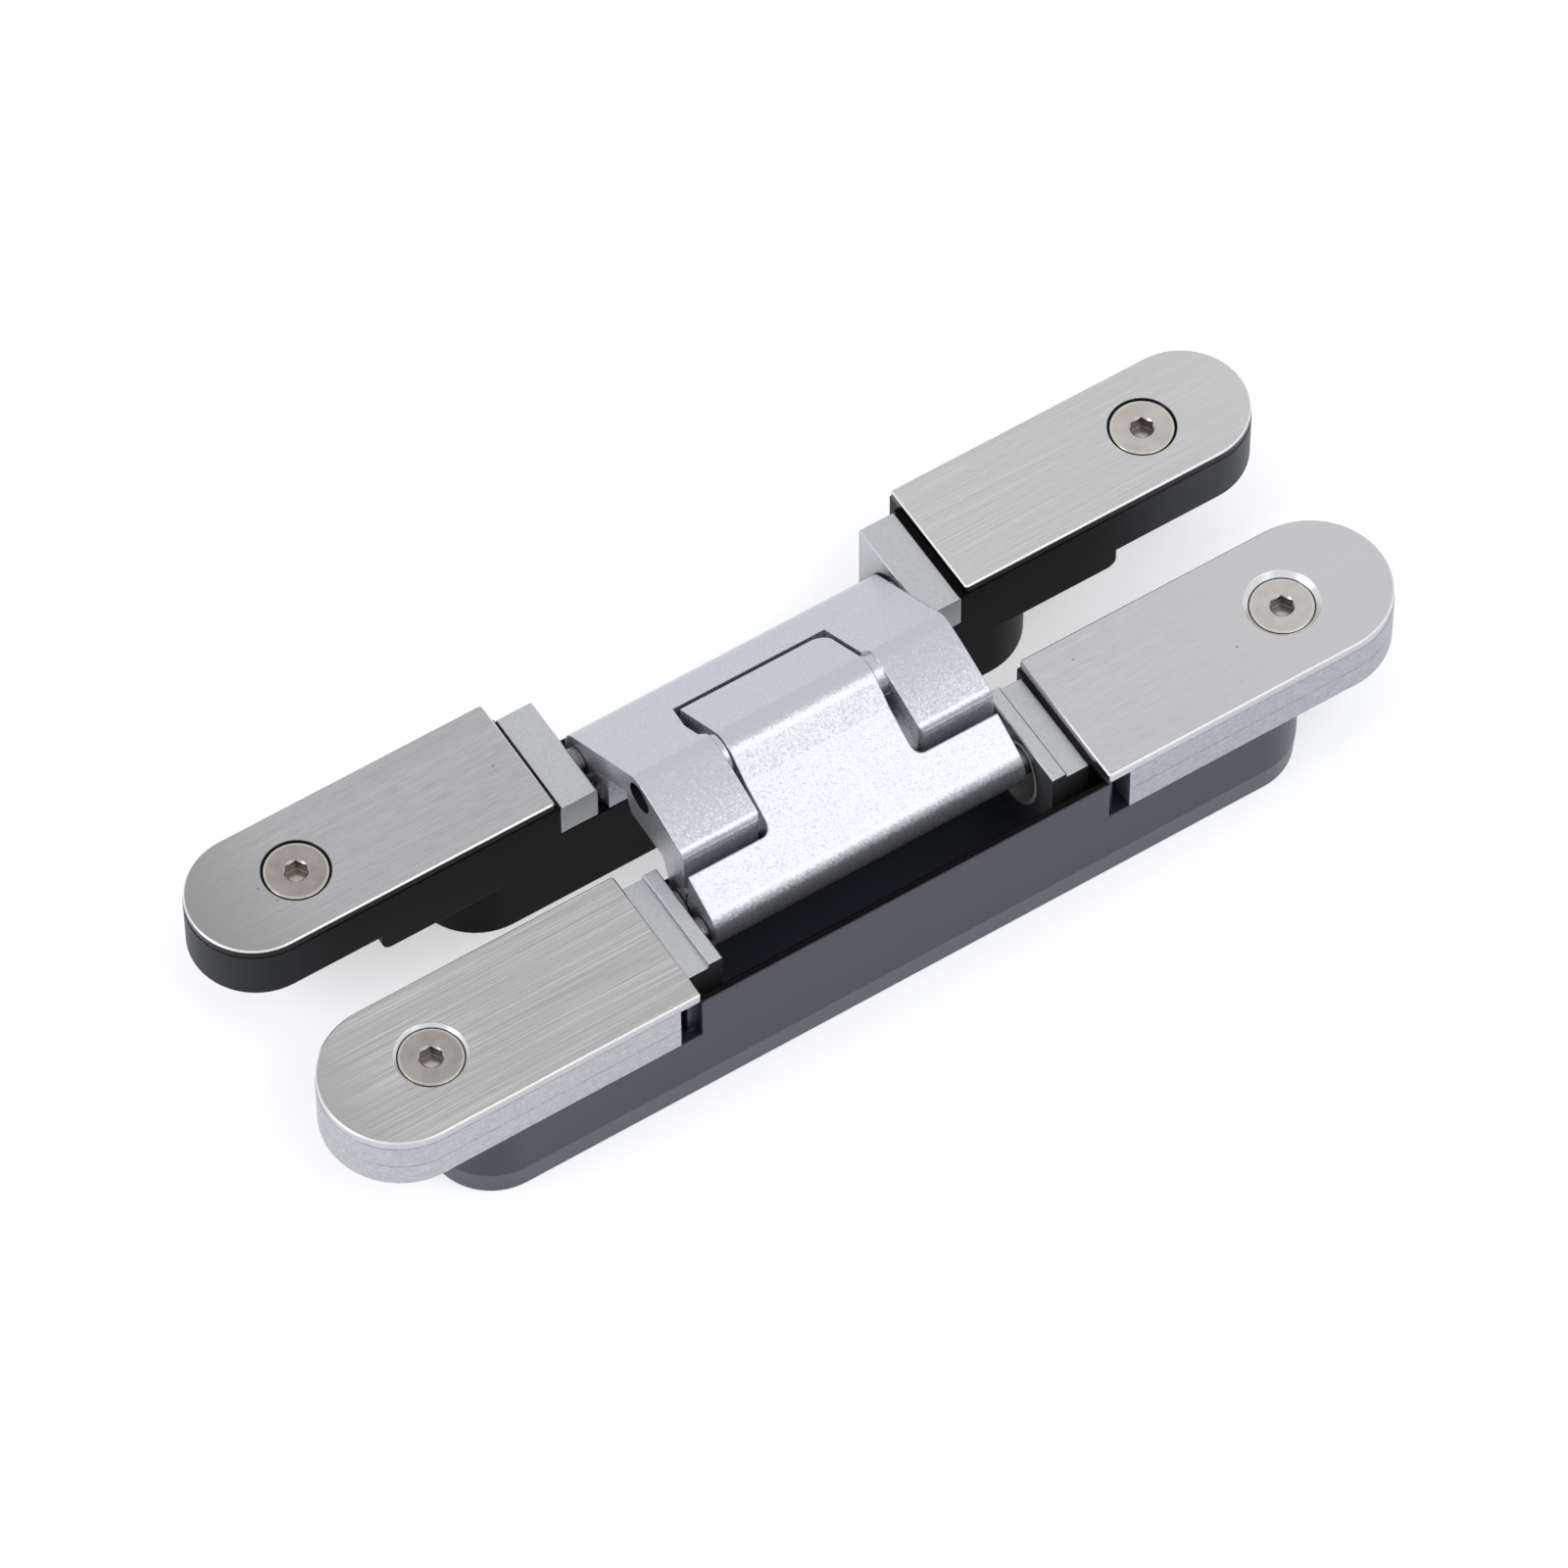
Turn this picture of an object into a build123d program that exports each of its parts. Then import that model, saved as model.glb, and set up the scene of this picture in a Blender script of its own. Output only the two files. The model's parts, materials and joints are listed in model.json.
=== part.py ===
# Concealed door hinge with two mortised bodies, covered end plates and two folding arms.
# Millimetres; X along the bodies, Y across them, Z up from the undersides, laid open as on a bench.
import os
from math import acos, atan2, cos, degrees, hypot, pi, radians, sin, tan

from build123d import *

os.makedirs("parts", exist_ok=True)

# driving sizes
front_width = 30.0
rear_width = 25.7
body_gap = 18.3
body_length = 223.0
face_z = 31.2
cover_thickness = 2.0
cover_edge = 0.3
cover_corner = 0.6
cover_inset = 0.1

# widths along the pivots, from the arms outwards
arm_half = 32.7
arm_play = 2.2
cheek_thickness = 7.7
cheek_inner = arm_half + arm_play
cheek_outer = cheek_inner + cheek_thickness
cheek_step_in = 3.0
cheek_step_x = cheek_inner + cheek_step_in
cheek_step = 1.0
cheek_play = 0.1
cavity_half = cheek_outer + cheek_play
skin_wall = 0.4
end_wall = 1.9
rear_end_wall = 0.9
middle_half = cavity_half + skin_wall
wall_end = middle_half + end_wall
rear_middle_half = cavity_half + rear_end_wall
front_cover_start = middle_half
rear_cover_start = rear_middle_half

# where the bodies stand across the hinge
total_width = front_width + body_gap + rear_width
gap_y = -total_width / 2 + front_width + body_gap / 2
front_y = -total_width / 2 + front_width / 2
rear_y = total_width / 2 - rear_width / 2
cover_under = face_z - cover_thickness

# housings
floor_thickness = 1.8
wall_near = 1.5
near_inside = body_gap / 2 + wall_near
front_wall_far = 1.95
rear_wall_far = 1.85
middle_drop = 2.4
middle_top = face_z - middle_drop
near_wall_drop = 10.4
near_wall_top = face_z - near_wall_drop
skin_chamfer = 0.9
taper_start = 5.6
front_end_setback = 20.45
front_half = body_length / 2 - front_end_setback
front_corner = 12.3
front_shift = -1.25
front_taper = 0.4
ledge_drop = 12.8
ledge_z = face_z - ledge_drop
rear_flange_drop = 13.2
rear_flange_under = face_z - rear_flange_drop
rear_step_drop = 17.7
rear_step_under = face_z - rear_step_drop
rear_step_setback = 33.2
rear_step_half = body_length / 2 - rear_step_setback
rear_step_round = 2.0
rear_step_shift = -2.0
rear_deep_setback = 47.3
rear_deep_half = body_length / 2 - rear_deep_setback
rear_deep_shift = -2.0
window_drop = 25.0
window_sill = face_z - window_drop

# end blocks of the front body
block_gap = 2.5
block_start = wall_end + block_gap
seat_play = 0.6
seat_start = front_half - front_shift + seat_play
seat_drop = 0.15
block_groove = 0.15
block_groove_drop = 7.6
block_groove_z = face_z - block_groove_drop
groove_reach = 1.0

# cheeks that carry the pivots and the slots
cheek_front_far = -33.0
cheek_front_near = -10.8
cheek_rear_near = 9.2
cheek_rear_far = 31.6
cheek_chamfer = 0.3
liner_wall = 0.8

# linkage: pivots as (y, z) from the middle of the gap and the top of the covers
front_pivot = (-15.5, -11.0)
rear_pivot = (15.0, -14.0)
knee = (-1.7, 6.9)
front_tail = (-22.5, -5.6)
front_slide = (-23.0, -8.0)
rear_tail = (18.8, -6.8)
closed_gap = 4.0
closed_axis_y = 1.0

# arms
apex = (-0.4, 11.6)
roof_slope = radians(33.0)
ridge_radius = 4.0
lobe_lip = (-16.5, 6.5)
lobe_crown = 0.4
lobe_lip_radius = 2.4
lobe_corner = 1.2
tongue_ridge_y = -2.2
tongue_ridge_radius = 5.0
shoulder = (-9.3, 6.75)
plate = 5.0
tail_radius = 5.0
barrel_radius = 4.0
relief_play = 0.45
tongue_left = 15.1
tongue_right = 15.4
notch_left = 15.9
notch_right = 16.3
lobe_inner_left = 16.4
lobe_inner_right = 17.5
notch_bulge = 17.5
notch_edge = 14.1
notch_corner = 3.0
tongue_edge = 12.8
tongue_root = -9.0
tongue_belly = [(4.5, 0.2), (-3.0, -0.5), (-12.0, -2.8)]
lobe_belly = [(1.2, -1.5), (-9.5, -1.8)]
wide_start = -18.0
wide_inner_corner = 2.0
block_front = 9.0
block_back = 14.0
block_bottom = -9.9
block_top_gap = 0.5
block_inset = 0.1
block_half = arm_half - block_inset
boss_radius = 4.2
boss_play = 0.15
pin_recess_radius = 3.1
pin_recess = 1.8

# pins, rollers and washers
pin_radius = 2.4
slide_pin_radius = 2.0
running = 0.05
seated = 0.02
slide_boss_radius = 3.6
roller_radius = 2.8
roller_play = 0.25
pin_inset = 0.6
pin_end = cheek_outer - pin_inset
pin_chamfer = 0.4
roller_chamfer = 0.3
knee_pin_inset = 0.2
knee_pin_half = arm_half - pin_recess - knee_pin_inset
washer_radius = 4.0
washer_play = 0.15
washer_inner = arm_half + washer_play
washer_outer = cheek_inner - cheek_play

# screws
cover_screw_setback = 21.5
cover_screw_x = body_length / 2 - cover_screw_setback
screw_head_radius = 6.0
screw_shank_radius = 3.0
screw_head_height = 3.0
screw_rim = 0.25
screw_length = 11.0
screw_edge = 0.12
screw_tip = 0.5
hex_across = 4.0
hex_depth = 2.6
clamp_setback = 18.5
clamp_x = block_start + clamp_setback
clamp_sink = 0.3
clamp_head_radius = 4.25
clamp_head_height = 5.0
clamp_shank_radius = 2.5
clamp_length = 20.0
wood_hole_setback = 9.5
wood_hole_x = body_length / 2 - wood_hole_setback
wood_hole_radius = 2.6
wood_head_radius = 5.0
cheek_screw_radius = 2.0
cheek_screw_head = 3.6
cheek_screw_taper = degrees(atan2(cheek_screw_head - cheek_screw_radius, floor_thickness))
cheek_screw_hex = 2.5
front_screw_reach = 2.4
rear_screw_reach = 5.0
adjuster_radius = 2.5
adjuster_drop = 7.4
adjuster_z = face_z - adjuster_drop
adjuster_length = 13.0
adjuster_play = 0.5
lobe_root_y = 3.0
cover_sink = {"rear_left": 0.2, "rear_right": 0.2, "front_left": 0.5, "front_right": 0.9}
cone_mouth = screw_head_radius + screw_rim + seated
rear_cone_radius = cone_mouth + running - seated + cover_sink["rear_left"] - cover_thickness
rear_cone_depth = rear_cone_radius - screw_shank_radius


def at(y, z):
    return (gap_y + y, face_z + z)


def from_to(start, end):
    return (end[0] - start[0], end[1] - start[1])


def turned(vector, angle):
    y, z = vector
    return (y * cos(angle) - z * sin(angle), y * sin(angle) + z * cos(angle))


def bearing(vector):
    return atan2(vector[1], vector[0])


def added(first, second):
    return (first[0] + second[0], first[1] + second[1])


# the closed position of the knee, where the two arms' circles meet on the far side
arm_a = from_to(front_pivot, knee)
arm_b = from_to(rear_pivot, knee)
rear_pivot_closed = (2 * closed_axis_y - rear_pivot[0], closed_gap - rear_pivot[1])
span = from_to(front_pivot, rear_pivot_closed)
length_a = hypot(*arm_a)
length_b = hypot(*arm_b)
length_span = hypot(*span)
angle_a = acos((length_a**2 + length_span**2 - length_b**2) / (2 * length_a * length_span))
knee_closed = added(front_pivot, turned((length_a, 0), bearing(span) + angle_a))
fold_front = (bearing(from_to(front_pivot, knee_closed)) - bearing(arm_a)) % (2 * pi)
fold_rear = (bearing(from_to(rear_pivot_closed, knee_closed)) - bearing(arm_b)) % (2 * pi)


def front_slide_at(share):
    knee_now = added(front_pivot, turned(arm_a, share * fold_front))
    return added(knee_now, turned(from_to(knee, front_slide), share * fold_rear))


def rear_slide_at(share):
    knee_now = added(front_pivot, turned(arm_a, share * fold_front))
    pivot_now = added(knee_now, turned(from_to(knee, rear_pivot), share * fold_rear))
    tail_now = added(front_pivot, turned(from_to(front_pivot, rear_tail), share * fold_front))
    return added(rear_pivot, turned(from_to(pivot_now, tail_now), -share * pi))


# roof lines of the arms
rear_out = (sin(roof_slope), cos(roof_slope))
tail_span = from_to(shoulder, front_tail)
front_slope = bearing((-tail_span[0], -tail_span[1])) - atan2(
    tail_radius, (hypot(*tail_span) ** 2 - tail_radius**2) ** 0.5
)
front_out = (-sin(front_slope), cos(front_slope))


def rear_roof(y, depth=0.0):
    return apex[1] - (y - apex[0]) * tan(roof_slope) - depth / cos(roof_slope)


def front_roof(y, depth=0.0):
    return shoulder[1] - (shoulder[0] - y) * tan(front_slope) - depth / cos(front_slope)


front_tail_top = added(front_tail, (front_out[0] * tail_radius, front_out[1] * tail_radius))
rear_tail_top = added(rear_tail, (rear_out[0] * tail_radius, rear_out[1] * tail_radius))


# front housing
front_near = front_y + front_width / 2
front_far = front_y - front_width / 2
front_cavity_y0 = front_far + front_wall_far
front_cavity_y1 = front_near - wall_near
cheek_mid_x = (cheek_inner + cheek_outer) / 2
front_cheek_y = gap_y + (cheek_front_far + cheek_front_near) / 2
rear_cheek_y = gap_y + (near_inside + cheek_rear_far) / 2
clamp_hole_depth = clamp_length - (cover_under - clamp_head_height - ledge_z) + 1.0

with BuildPart() as front_housing:
    with BuildSketch(Plane.XY.offset(taper_start)):
        with Locations((front_shift, front_y)):
            RectangleRounded(2 * front_half, front_width, front_corner)
    extrude(amount=ledge_z - taper_start)
    with BuildSketch(Plane.XY.offset(taper_start)):
        with Locations((front_shift, front_y)):
            RectangleRounded(2 * front_half, front_width, front_corner)
    extrude(amount=-taper_start, taper=degrees(atan2(front_taper, taper_start)))
    # raised middle: skin on the outer side and the walls at both ends
    with BuildSketch(Plane.XY.offset(ledge_z)):
        with Locations((0, front_far + front_wall_far / 2)):
            Rectangle(2 * middle_half, front_wall_far)
        with Locations((0, (front_cavity_y0 + front_near) / 2)):
            Rectangle(2 * wall_end, front_near - front_cavity_y0)
    extrude(amount=middle_top - ledge_z)
    # the side next to the gap is lower, so that the arms can pass over it
    with BuildSketch(Plane.XY.offset(near_wall_top)):
        with Locations((0, (front_cavity_y0 + front_near) / 2)):
            Rectangle(2 * cavity_half, front_near - front_cavity_y0)
    extrude(amount=middle_top - near_wall_top, mode=Mode.SUBTRACT)
    with BuildSketch(Plane.XY.offset(floor_thickness)):
        with Locations((0, (front_cavity_y0 + front_cavity_y1) / 2)):
            Rectangle(2 * cavity_half, front_cavity_y1 - front_cavity_y0)
    extrude(amount=near_wall_top - floor_thickness, mode=Mode.SUBTRACT)
    # the folded arms pass over the inner edge of the outer side
    skin_edge = front_housing.edges().filter_by(Axis.X).filter_by_position(
        Axis.Y, front_cavity_y0 - 0.01, front_cavity_y0 + 0.01
    )
    chamfer(skin_edge.sort_by(Axis.Z)[-1], skin_chamfer)
    # tapped holes under the clamp screws
    with BuildSketch(Plane.XY.offset(ledge_z)):
        with Locations((-clamp_x, front_y), (clamp_x, front_y)):
            Circle(clamp_shank_radius + seated)
    extrude(amount=-clamp_hole_depth, mode=Mode.SUBTRACT)
    # countersinks for the cheek screws
    with BuildSketch(Plane.XY):
        with Locations((-cheek_mid_x, front_cheek_y), (cheek_mid_x, front_cheek_y)):
            Circle(cheek_screw_head + running)
    extrude(amount=floor_thickness, taper=cheek_screw_taper, mode=Mode.SUBTRACT)
front_housing.part.label = "front_housing"
export_step(front_housing.part, "parts/front_housing.step")

# rear housing: flange, step and deep middle in one piece
rear_near = rear_y - rear_width / 2
rear_far = rear_y + rear_width / 2
rear_cavity_y0 = gap_y + near_inside
rear_cavity_y1 = rear_far - rear_wall_far
flange_end_centre = body_length / 2 - rear_width / 2

with BuildPart() as rear_housing:
    with BuildSketch(Plane.XY.offset(rear_flange_under)):
        with Locations((0, rear_y)):
            SlotCenterToCenter(2 * flange_end_centre, rear_width)
    extrude(amount=cover_under - rear_flange_under)
    with BuildSketch(Plane.XZ.offset(-rear_near)):
        with Locations((rear_step_shift, (rear_step_under + rear_flange_under) / 2)):
            Rectangle(2 * rear_step_half, rear_flange_under - rear_step_under)
    extrude(amount=-rear_width)
    fillet(rear_housing.edges().filter_by(Axis.Y).group_by(Axis.Z)[0], rear_step_round)
    with BuildSketch(Plane.XY):
        with Locations((rear_deep_shift, rear_y)):
            SlotOverall(2 * rear_deep_half, rear_width)
    extrude(amount=rear_flange_under)
    # the middle stays below the covers
    with BuildSketch(Plane.XY.offset(middle_top)):
        with Locations((0, rear_y)):
            Rectangle(2 * rear_middle_half, rear_width)
    extrude(amount=face_z - middle_top, mode=Mode.SUBTRACT)
    with BuildSketch(Plane.XY.offset(near_wall_top)):
        with Locations((0, (rear_near + rear_cavity_y1) / 2)):
            Rectangle(2 * cavity_half, rear_cavity_y1 - rear_near)
    extrude(amount=middle_top - near_wall_top, mode=Mode.SUBTRACT)
    with BuildSketch(Plane.XY.offset(floor_thickness)):
        with Locations((0, (rear_cavity_y0 + rear_cavity_y1) / 2)):
            Rectangle(2 * cavity_half, rear_cavity_y1 - rear_cavity_y0)
    extrude(amount=near_wall_top - floor_thickness, mode=Mode.SUBTRACT)
    # the outer side is low in the middle, where the folded knee comes through
    with BuildSketch(Plane.XY.offset(window_sill)):
        with Locations((0, rear_far - rear_wall_far / 2)):
            Rectangle(2 * rear_middle_half, 2 * rear_wall_far)
    extrude(amount=middle_top - window_sill, mode=Mode.SUBTRACT)
    # screw holes: the covers' own, and one for wood at each end of the flange
    with BuildSketch(Plane.XY.offset(cover_under)):
        with Locations((-cover_screw_x, rear_y), (cover_screw_x, rear_y)):
            Circle(rear_cone_radius)
    extrude(amount=-rear_cone_depth, taper=45, mode=Mode.SUBTRACT)
    with BuildSketch(Plane.XY.offset(cover_under)):
        with Locations((-cover_screw_x, rear_y), (cover_screw_x, rear_y)):
            Circle(screw_shank_radius + seated)
        with Locations((-wood_hole_x, rear_y), (wood_hole_x, rear_y)):
            Circle(wood_hole_radius)
    extrude(amount=rear_flange_under - cover_under, mode=Mode.SUBTRACT)
    with BuildSketch(Plane.XY.offset(cover_under)):
        with Locations((-wood_hole_x, rear_y), (wood_hole_x, rear_y)):
            Circle(wood_head_radius)
    extrude(amount=wood_hole_radius - wood_head_radius, taper=45, mode=Mode.SUBTRACT)
    with BuildSketch(Plane.XY):
        with Locations((-cheek_mid_x, rear_cheek_y), (cheek_mid_x, rear_cheek_y)):
            Circle(cheek_screw_head + running)
    extrude(amount=floor_thickness, taper=cheek_screw_taper, mode=Mode.SUBTRACT)
rear_housing.part.label = "rear_housing"
export_step(rear_housing.part, "parts/rear_housing.step")

# end blocks of the front body, lying on the housing's ledge
front_tip_centre = body_length / 2 - front_width / 2
for side, way in (("left", -1), ("right", 1)):
    sink = cover_sink["front_" + side]
    cone_radius = cone_mouth + sink - cover_thickness
    with BuildPart() as end_block:
        with BuildSketch(Plane.XY.offset(ledge_z)):
            with Locations((way * (block_start + front_tip_centre) / 2, front_y)):
                Rectangle(front_tip_centre - block_start, front_width)
            with Locations((way * front_tip_centre, front_y)):
                Circle(front_width / 2)
        extrude(amount=cover_under - ledge_z)
        # the free end seats a little lower than the ledge
        with BuildSketch(Plane.XY.offset(ledge_z)):
            with Locations((way * front_tip_centre, front_y)):
                Circle(front_width / 2)
            with Locations((way * (seat_start - front_width), front_y)):
                Rectangle(2 * front_width, 2 * front_width, mode=Mode.SUBTRACT)
        extrude(amount=-seat_drop)
        # mould line round the outside
        with BuildSketch(Plane.XY.offset(block_groove_z)):
            with Locations((way * (block_start - groove_reach + front_tip_centre) / 2, front_y)):
                Rectangle(front_tip_centre - block_start + groove_reach, front_width + 2 * groove_reach)
            with Locations((way * front_tip_centre, front_y)):
                Circle(front_width / 2 + groove_reach)
            with Locations((way * (block_start - groove_reach + front_tip_centre) / 2, front_y)):
                Rectangle(
                    front_tip_centre - block_start + groove_reach,
                    front_width - 2 * block_groove,
                    mode=Mode.SUBTRACT,
                )
            with Locations((way * front_tip_centre, front_y)):
                Circle(front_width / 2 - block_groove, mode=Mode.SUBTRACT)
        extrude(amount=block_groove, mode=Mode.SUBTRACT)
        # cover screw, clamp screw and wood screw holes
        with BuildSketch(Plane.XY.offset(cover_under)):
            with Locations((way * cover_screw_x, front_y)):
                Circle(cone_radius)
        extrude(amount=screw_shank_radius - cone_radius, taper=45, mode=Mode.SUBTRACT)
        with BuildSketch(Plane.XY.offset(cover_under)):
            with Locations((way * wood_hole_x, front_y)):
                Circle(wood_head_radius)
        extrude(amount=wood_hole_radius - wood_head_radius, taper=45, mode=Mode.SUBTRACT)
        with BuildSketch(Plane.XY.offset(cover_under)):
            with Locations((way * cover_screw_x, front_y)):
                Circle(screw_shank_radius + seated)
            with Locations((way * wood_hole_x, front_y)):
                Circle(wood_hole_radius)
            with Locations((way * clamp_x, front_y)):
                Circle(clamp_shank_radius + seated)
        extrude(amount=ledge_z - seat_drop - cover_under, mode=Mode.SUBTRACT)
        with BuildSketch(Plane.XY.offset(cover_under)):
            with Locations((way * clamp_x, front_y)):
                Circle(clamp_head_radius + 0.25)
        extrude(amount=-clamp_head_height, mode=Mode.SUBTRACT)
        # tapped hole for the height adjuster, from the inner end
        with BuildSketch(Plane.YZ.offset(way * block_start)):
            with Locations((front_y, adjuster_z)):
                Circle(adjuster_radius + seated)
        extrude(amount=way * adjuster_length, mode=Mode.SUBTRACT)
    end_block.part.label = "front_end_block_" + side
    export_step(end_block.part, "parts/front_end_block_" + side + ".step")

# covers, each a rounded plate with a countersink
for body, start, width, middle_y in (
    ("front", front_cover_start, front_width, front_y),
    ("rear", rear_cover_start, rear_width, rear_y),
):
    tip_centre = body_length / 2 - width / 2
    plate_radius = width / 2 - cover_inset
    for side, way in (("left", -1), ("right", 1)):
        sink = cover_sink[body + "_" + side]
        with BuildPart() as cover:
            with BuildSketch(Plane.XY.offset(cover_under)):
                with Locations((way * (start + tip_centre) / 2, middle_y)):
                    Rectangle(tip_centre - start, 2 * plate_radius)
                with Locations((way * tip_centre, middle_y)):
                    Circle(plate_radius)
            extrude(amount=cover_thickness)
            inner_end = cover.edges().filter_by(Axis.Z).sort_by(Axis.X)
            fillet(inner_end[:2] if way > 0 else inner_end[-2:], cover_corner)
            chamfer(cover.faces().sort_by(Axis.Z)[-1].edges(), cover_edge)
            with BuildSketch(Plane.XY.offset(face_z)):
                with Locations((way * cover_screw_x, middle_y)):
                    Circle(cone_mouth + sink)
            extrude(amount=-cover_thickness, taper=45, mode=Mode.SUBTRACT)
        cover.part.label = body + "_cover_" + side
        export_step(cover.part, "parts/" + body + "_cover_" + side + ".step")

        with BuildPart() as cover_screw:
            with BuildSketch(Plane.XY.offset(face_z - sink)):
                with Locations((way * cover_screw_x, middle_y)):
                    Circle(screw_head_radius)
            extrude(amount=-screw_rim)
            chamfer(cover_screw.faces().sort_by(Axis.Z)[-1].edges(), screw_edge)
            with BuildSketch(Plane.XY.offset(face_z - sink - screw_rim)):
                with Locations((way * cover_screw_x, middle_y)):
                    Circle(screw_head_radius)
            extrude(amount=-screw_head_height, taper=45)
            with BuildSketch(Plane.XY.offset(face_z - sink)):
                with Locations((way * cover_screw_x, middle_y)):
                    Circle(screw_shank_radius)
            extrude(amount=-screw_length)
            chamfer(cover_screw.faces().sort_by(Axis.Z)[0].edges(), screw_tip)
            with BuildSketch(Plane.XY.offset(face_z - sink)):
                with Locations((way * cover_screw_x, middle_y)):
                    RegularPolygon(hex_across / 2, 6, major_radius=False)
            extrude(amount=-hex_depth, mode=Mode.SUBTRACT)
            with BuildSketch(Plane.XY.offset(face_z - sink)):
                with Locations((way * cover_screw_x, middle_y)):
                    Circle(hex_across / 2 + 0.35)
            extrude(amount=-hex_across / 2, taper=45, mode=Mode.SUBTRACT)
        cover_screw.part.label = body + "_cover_screw_" + side
        export_step(cover_screw.part, "parts/" + body + "_cover_screw_" + side + ".step")

# cheeks of the front body: pivot bore, curved slot and a stepped top
slot_half = roller_radius + roller_play
front_path = [at(*front_slide_at(share)) for share in (0, 0.5, 1)]
rear_path = [at(*rear_slide_at(share)) for share in (0, 0.5, 1)]
for side, way in (("left", -1), ("right", 1)):
    with BuildPart() as front_cheek:
        with BuildSketch(Plane.YZ.offset(way * cheek_inner)):
            with Locations((front_cheek_y, (middle_top + floor_thickness) / 2)):
                Rectangle(cheek_front_near - cheek_front_far, middle_top - floor_thickness)
        extrude(amount=way * cheek_thickness)
        with BuildSketch(Plane.YZ.offset(way * cheek_step_x)):
            with Locations((front_cheek_y, middle_top)):
                Rectangle(cheek_front_near - cheek_front_far, 2 * cheek_step)
        extrude(amount=way * (cheek_outer - cheek_step_x), mode=Mode.SUBTRACT)
        chamfer(front_cheek.edges().filter_by(Axis.Y).group_by(Axis.Z)[-1], cheek_chamfer)
        with BuildSketch(Plane.YZ.offset(way * cheek_inner)):
            with Locations(at(*front_pivot)):
                Circle(pin_radius + seated)
            with BuildLine():
                front_arc = ThreePointArc(*front_path)
            SlotArc(front_arc, 2 * (slot_half + liner_wall))
        extrude(amount=way * cheek_thickness, mode=Mode.SUBTRACT)
        with BuildSketch(Plane.XY.offset(floor_thickness)):
            with Locations((way * cheek_mid_x, front_cheek_y)):
                Circle(cheek_screw_radius + seated)
        extrude(amount=front_screw_reach, mode=Mode.SUBTRACT)
    front_cheek.part.label = "front_cheek_" + side
    export_step(front_cheek.part, "parts/front_cheek_" + side + ".step")

    # plastic lining of the slot in which the front slide pin travels
    with BuildPart() as slot_liner:
        with BuildSketch(Plane.YZ.offset(way * cheek_inner)):
            with BuildLine():
                liner_arc = ThreePointArc(*front_path)
            SlotArc(liner_arc, 2 * (slot_half + liner_wall - seated))
            SlotArc(liner_arc, 2 * slot_half, mode=Mode.SUBTRACT)
        extrude(amount=way * cheek_thickness)
    slot_liner.part.label = "front_slot_liner_" + side
    export_step(slot_liner.part, "parts/front_slot_liner_" + side + ".step")

    with BuildPart() as rear_cheek:
        with BuildSketch(Plane.YZ.offset(way * cheek_inner)):
            with BuildLine():
                Polyline(
                    (gap_y + cheek_rear_near, middle_top),
                    (gap_y + cheek_rear_far, middle_top),
                    (gap_y + cheek_rear_far, floor_thickness),
                    (rear_cavity_y0 + 0.1, floor_thickness),
                    (rear_cavity_y0 + 0.1, near_wall_top),
                    (gap_y + cheek_rear_near, near_wall_top),
                    close=True,
                )
            make_face()
        extrude(amount=way * cheek_thickness)
        chamfer(rear_cheek.edges().filter_by(Axis.Y).group_by(Axis.Z)[-1], cheek_chamfer)
        with BuildSketch(Plane.YZ.offset(way * cheek_inner)):
            with Locations(at(*rear_pivot)):
                Circle(pin_radius + seated)
            with BuildLine():
                rear_arc = ThreePointArc(*rear_path)
            SlotArc(rear_arc, 2 * slot_half)
        extrude(amount=way * cheek_thickness, mode=Mode.SUBTRACT)
        with BuildSketch(Plane.XY.offset(floor_thickness)):
            with Locations((way * cheek_mid_x, rear_cheek_y)):
                Circle(cheek_screw_radius + seated)
        extrude(amount=rear_screw_reach, mode=Mode.SUBTRACT)
    rear_cheek.part.label = "rear_cheek_" + side
    export_step(rear_cheek.part, "parts/rear_cheek_" + side + ".step")

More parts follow.
